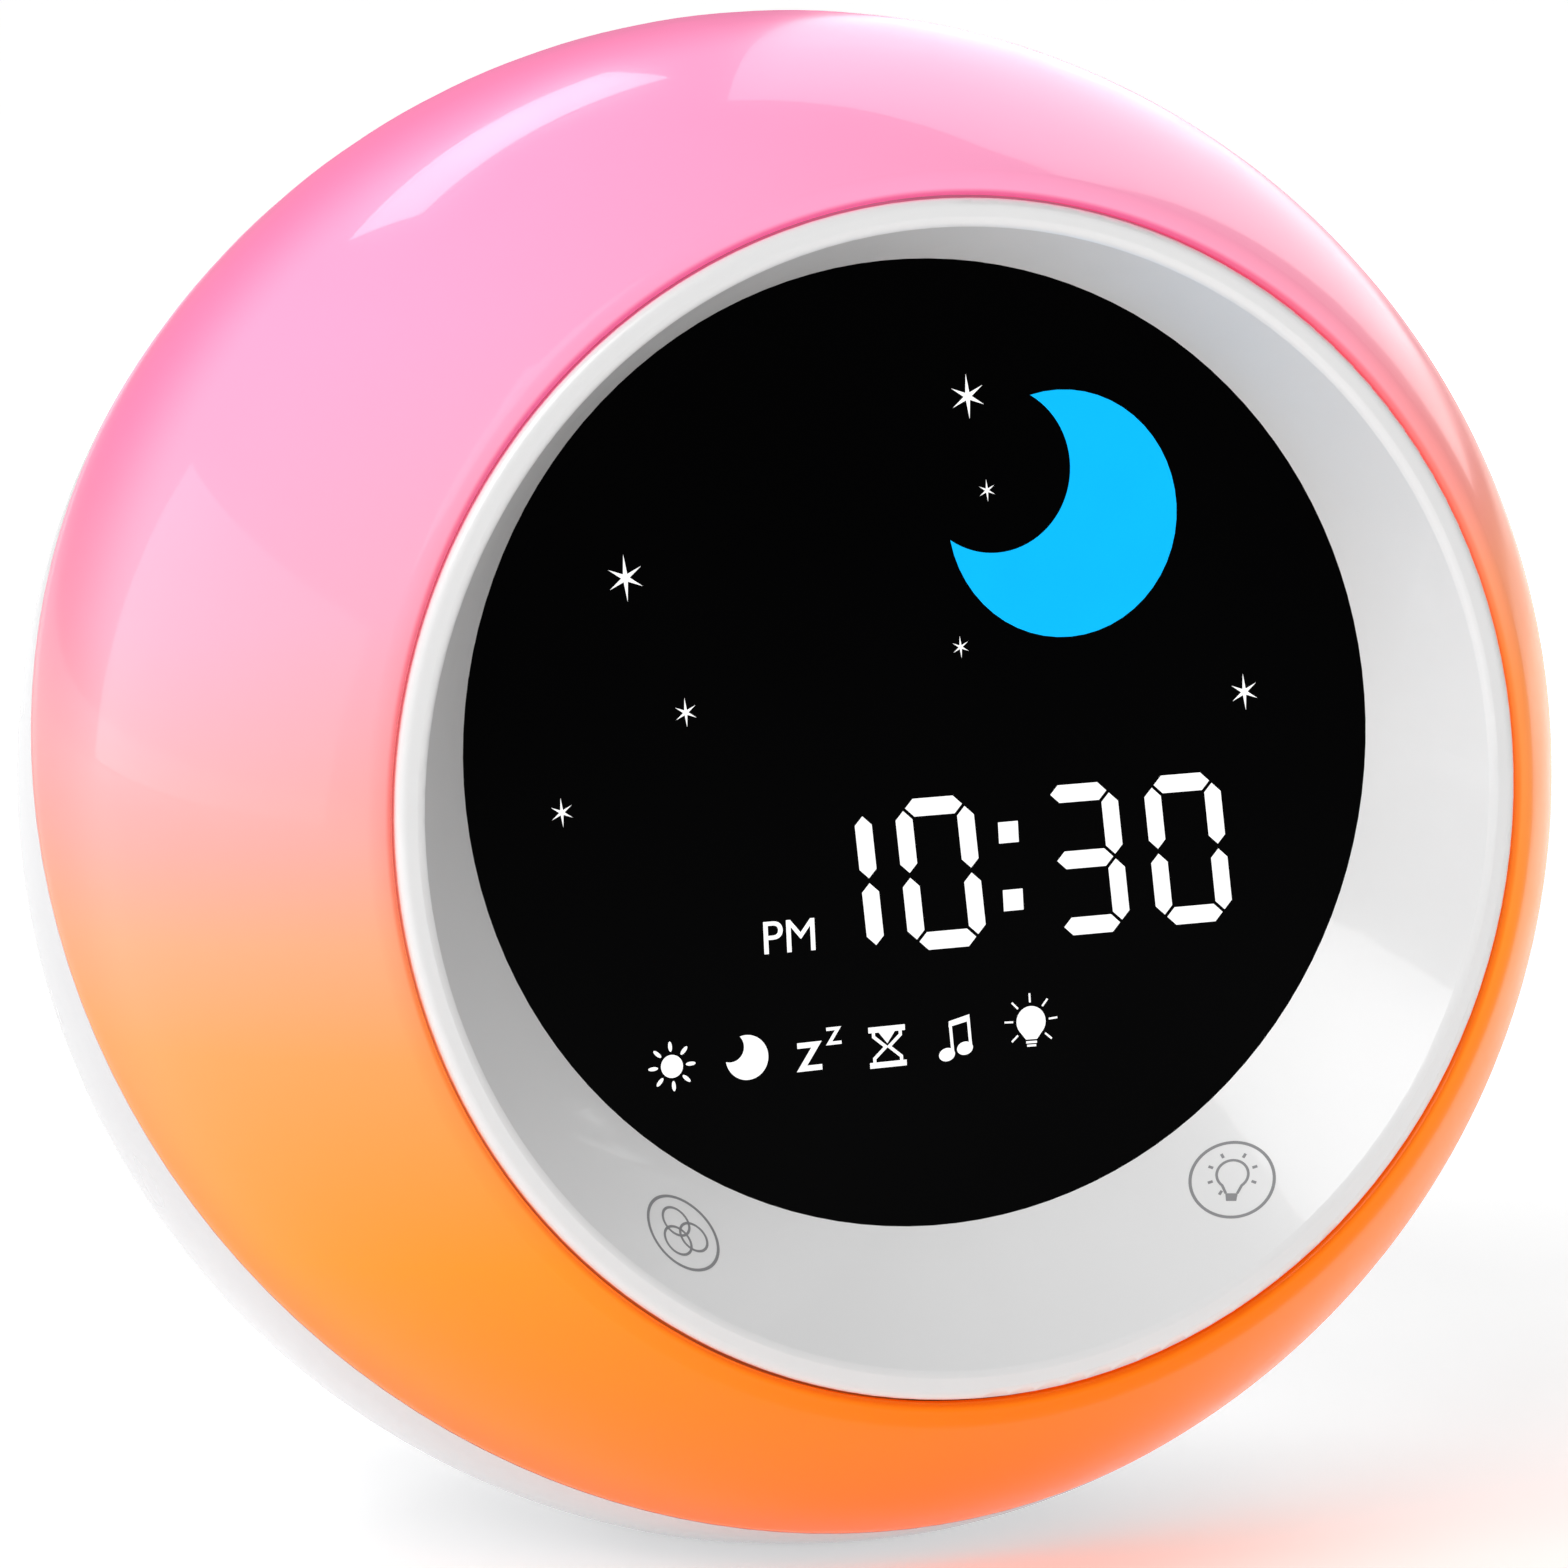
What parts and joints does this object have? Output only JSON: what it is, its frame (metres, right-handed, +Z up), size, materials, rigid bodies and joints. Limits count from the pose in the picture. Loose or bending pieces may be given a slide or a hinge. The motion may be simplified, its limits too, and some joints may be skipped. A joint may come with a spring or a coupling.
{
  "type": "kids alarm clock with night light",
  "caption": "Ball-shaped bedside alarm clock with a translucent night-light dome, a dished face round a black digital display, touch symbols, rear keys and a battery door.",
  "frame": {"origin": "centre of the rubber foot ring, on the table", "axes": "+X to the viewer's right, the face looks along -Y, +Z up"},
  "size_m": [0.14, 0.1056, 0.1371],
  "materials": {
    "dome_plastic": "glossy translucent",
    "bezel_plastic": "satin",
    "shell_plastic": "satin",
    "black_acrylic": "glossy",
    "black_film": "matte",
    "black_plastic": "matte",
    "circuit_board": "satin",
    "lamp_resin": "glossy",
    "white_reflector": "matte",
    "copper_foil": "satin",
    "screw_steel": "satin",
    "capacitor_can": "satin",
    "foot_rubber": "matte",
    "key_plastic": "satin",
    "cell_jacket": "satin",
    "paper_cone": "matte",
    "magnet_steel": "satin"
  },
  "bodies": {
    "clock": {"backup_cells": "cell_jacket", "battery_contacts": "screw_steel", "battery_springs": "screw_steel", "bezel_screws": "screw_steel", "case_screws": "screw_steel", "display_board": "circuit_board", "display_chip": "black_plastic", "display_film": "black_film", "display_leds": "lamp_resin", "display_lens": "black_acrylic", "display_retainer": "white_reflector", "front_bezel": "bezel_plastic", "key_board_screws": "screw_steel", "led_board_screws": "screw_steel", "led_ring_board": "circuit_board", "light_box": "black_plastic", "light_dome": "dome_plastic", "lower_key_board": "circuit_board", "main_board": "circuit_board", "main_board_screws": "screw_steel", "main_capacitors": "capacitor_can", "main_chip": "black_plastic", "night_leds": "lamp_resin", "panel_screws": "screw_steel", "rear_panel": "shell_plastic", "rear_shell": "shell_plastic", "reflector_plate": "white_reflector", "rubber_foot": "foot_rubber", "speaker_basket": "black_plastic", "speaker_clamp": "white_reflector", "speaker_cone": "paper_cone", "speaker_magnet": "magnet_steel", "speaker_screws": "screw_steel", "switch_bodies": "black_plastic", "touch_foil_colour": "copper_foil", "touch_foil_light": "copper_foil", "upper_key_board": "circuit_board", "usb_socket": "screw_steel"},
    "door": {"battery_door": "shell_plastic"},
    "key_up_cap": {"key_up": "key_plastic", "key_up_stem": "key_plastic"},
    "key_down_cap": {"key_down": "key_plastic", "key_down_stem": "key_plastic"},
    "key_alarm_cap": {"key_alarm": "key_plastic", "key_alarm_stem": "key_plastic"},
    "key_clock_cap": {"key_clock": "key_plastic", "key_clock_stem": "key_plastic"},
    "key_sound_cap": {"key_sound": "key_plastic", "key_sound_stem": "key_plastic"},
    "key_timer_cap": {"key_timer": "key_plastic", "key_timer_stem": "key_plastic"}
  },
  "joints": [
    {"name": "battery_door_hinge", "type": "hinge", "parent": "clock", "child": "door", "pos_m": [0, 0.05388, 0.06076], "axis": [-1, 0, 0], "range_deg": [0, 75]},
    {"name": "key_up_press", "type": "slide", "parent": "clock", "child": "key_up_cap", "axis": [0, -1, 0], "range_m": [0, 0.0008], "stiffness_N_per_m": 1200},
    {"name": "key_down_press", "type": "slide", "parent": "clock", "child": "key_down_cap", "axis": [0, -1, 0], "range_m": [0, 0.0008], "stiffness_N_per_m": 1200},
    {"name": "key_alarm_press", "type": "slide", "parent": "clock", "child": "key_alarm_cap", "axis": [0, -1, 0], "range_m": [0, 0.0008], "stiffness_N_per_m": 1200},
    {"name": "key_clock_press", "type": "slide", "parent": "clock", "child": "key_clock_cap", "axis": [0, -1, 0], "range_m": [0, 0.0008], "stiffness_N_per_m": 1200},
    {"name": "key_sound_press", "type": "slide", "parent": "clock", "child": "key_sound_cap", "axis": [0, -1, 0], "range_m": [0, 0.0008], "stiffness_N_per_m": 1200},
    {"name": "key_timer_press", "type": "slide", "parent": "clock", "child": "key_timer_cap", "axis": [0, -1, 0], "range_m": [0, 0.0008], "stiffness_N_per_m": 1200}
  ]
}
